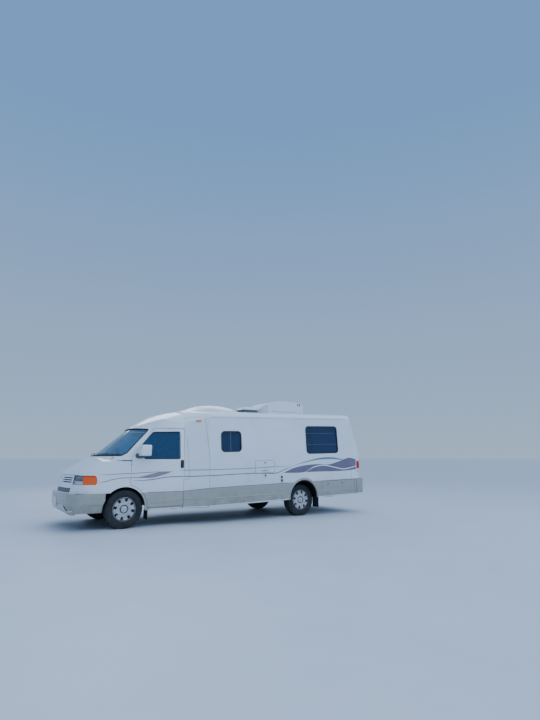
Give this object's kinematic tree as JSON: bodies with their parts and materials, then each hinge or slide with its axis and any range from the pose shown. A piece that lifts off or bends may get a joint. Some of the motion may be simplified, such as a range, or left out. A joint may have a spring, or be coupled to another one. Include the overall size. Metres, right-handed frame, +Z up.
{
  "type": "camper van",
  "caption": "Compact coach-built camper van on a front-engined van cab, with a domed roof fairing, swing and lift-up doors, roof air conditioner and steered front wheels.",
  "frame": {"origin": "on the ground, under the middle of the overall length and on the vehicle's centre plane", "axes": "+X forward, +Y to the vehicle's left, +Z up"},
  "size_m": [6.375, 2.31, 2.4611],
  "materials": {
    "body_paint": "gloss white",
    "lower_paint": "metallic champagne silver",
    "trim_black": "matt black",
    "grille_black": "satin dark grey",
    "window_glass": "clear, tinted",
    "lamp_clear": "clear lens",
    "lamp_amber": "clear amber",
    "lamp_red": "clear red",
    "roof_shell": "satin white",
    "frame_grey": "satin anodised",
    "chassis_black": "satin black",
    "engine_iron": "as cast",
    "steel_bare": "dull",
    "tank_grey": "matt",
    "tyre_rubber": "matt",
    "wheel_silver": "satin",
    "seat_cloth": "woven",
    "dash_grey": "grained",
    "liner_grey": "matt",
    "plate_blank": "satin"
  },
  "bodies": {
    "van": {"cab_shell": "body_paint", "chassis_frame": "chassis_black", "coach_glass": "window_glass", "coach_roof": "roof_shell", "coach_wall_left": "body_paint", "coach_wall_rear": "body_paint", "coach_wall_right": "body_paint", "dashboard": "dash_grey", "engine_block": "engine_iron", "exhaust": "steel_bare", "floor_pan": "chassis_black", "front_bumper": "lower_paint", "front_cap": "body_paint", "front_panel": "body_paint", "front_plate": "plate_blank", "front_suspension": "chassis_black", "headlamps": "lamp_clear", "intake_grille": "grille_black", "marker_lamps": "lamp_amber", "mud_flaps": "trim_black", "radiator": "frame_grey", "rear_bumper": "lower_paint", "rear_suspension": "chassis_black", "roof_ac": "roof_shell", "roof_vent_base": "roof_shell", "seat_bases": "trim_black", "seats": "seat_cloth", "side_fittings": "roof_shell", "skirt_left": "lower_paint", "skirt_right": "lower_paint", "tail_lamps": "lamp_red", "turn_lamps": "lamp_amber", "underfloor_tanks": "tank_grey", "wheel_liners": "liner_grey", "window_frames": "trim_black", "windshield": "window_glass", "wing_left": "body_paint", "wing_right": "body_paint"},
    "hood": {"hood": "body_paint"},
    "cab_door_left": {"cab_door_left": "body_paint", "cab_glass_left": "window_glass"},
    "cab_door_right": {"cab_door_right": "body_paint", "cab_glass_right": "window_glass"},
    "entry_door": {"entry_door": "body_paint", "entry_glass": "window_glass"},
    "trunk_lid": {"trunk_lid": "body_paint"},
    "locker_door": {"locker_door": "lower_paint"},
    "roof_vent_lid": {"roof_vent_lid": "roof_shell"},
    "steering_wheel": {"steering_wheel": "trim_black"},
    "knuckle_left": {"knuckle_left": "engine_iron"},
    "knuckle_right": {"knuckle_right": "engine_iron"},
    "road_wheel_front_left": {"wheel_front_left": "wheel_silver", "tyre_front_left": "tyre_rubber"},
    "road_wheel_front_right": {"wheel_front_right": "wheel_silver", "tyre_front_right": "tyre_rubber"},
    "road_wheel_rear_left": {"wheel_rear_left": "wheel_silver", "tyre_rear_left": "tyre_rubber"},
    "road_wheel_rear_right": {"wheel_rear_right": "wheel_silver", "tyre_rear_right": "tyre_rubber"}
  },
  "joints": [
    {"name": "steer_left", "type": "hinge", "parent": "van", "child": "knuckle_left", "pos_m": [2.2025, 0.7, 0.324], "axis": [0, 0, 1], "range_deg": [-33, 33]},
    {"name": "roll_front_left", "type": "hinge", "parent": "knuckle_left", "child": "road_wheel_front_left", "pos_m": [2.2025, 0.795, 0.324], "axis": [0, 1, 0], "continuous": true},
    {"name": "roll_rear_left", "type": "hinge", "parent": "van", "child": "road_wheel_rear_left", "pos_m": [-1.4975, 0.835, 0.324], "axis": [0, 1, 0], "continuous": true},
    {"name": "steer_right", "type": "hinge", "parent": "van", "child": "knuckle_right", "pos_m": [2.2025, -0.7, 0.324], "axis": [0, 0, 1], "range_deg": [-33, 33]},
    {"name": "roll_front_right", "type": "hinge", "parent": "knuckle_right", "child": "road_wheel_front_right", "pos_m": [2.2025, -0.795, 0.324], "axis": [0, 1, 0], "continuous": true},
    {"name": "roll_rear_right", "type": "hinge", "parent": "van", "child": "road_wheel_rear_right", "pos_m": [-1.4975, -0.835, 0.324], "axis": [0, 1, 0], "continuous": true},
    {"name": "steering_turn", "type": "hinge", "parent": "van", "child": "steering_wheel", "pos_m": [1.6975, 0.4, 0.985], "axis": [-0.848, 0, 0.5299], "range_deg": [-540, 540]},
    {"name": "cab_door_left_swing", "type": "hinge", "parent": "van", "child": "cab_door_left", "pos_m": [2.1205, 0.919, 0.95], "axis": [0, 0, -1], "range_deg": [0, 65]},
    {"name": "cab_door_right_swing", "type": "hinge", "parent": "van", "child": "cab_door_right", "pos_m": [2.1205, -0.919, 0.95], "axis": [0, 0, 1], "range_deg": [0, 65]},
    {"name": "entry_door_swing", "type": "hinge", "parent": "van", "child": "entry_door", "pos_m": [0.6455, -1.079, 0.8], "axis": [0, 0, 1], "range_deg": [0, 95]},
    {"name": "hood_lift", "type": "hinge", "parent": "van", "child": "hood", "pos_m": [2.4025, 0, 1.166], "axis": [0, -1, 0], "range_deg": [0, 50]},
    {"name": "trunk_lift", "type": "hinge", "parent": "van", "child": "trunk_lid", "pos_m": [-3.06851, 0, 1.209], "axis": [0, 1, 0], "range_deg": [0, 90]},
    {"name": "locker_lift", "type": "hinge", "parent": "van", "child": "locker_door", "pos_m": [-2.4175, 1.071, 0.40701], "axis": [-0.9996, 0, 0.0279], "range_deg": [0, 95]},
    {"name": "vent_lift", "type": "hinge", "parent": "van", "child": "roof_vent_lid", "pos_m": [-0.8645, 0, 2.241], "axis": [0, -1, 0], "range_deg": [0, 60]}
  ],
  "couplings": [
    {"joint": "steer_right", "follows": "steer_left", "ratio": 1},
    {"joint": "steering_turn", "follows": "steer_left", "ratio": 16.36}
  ]
}
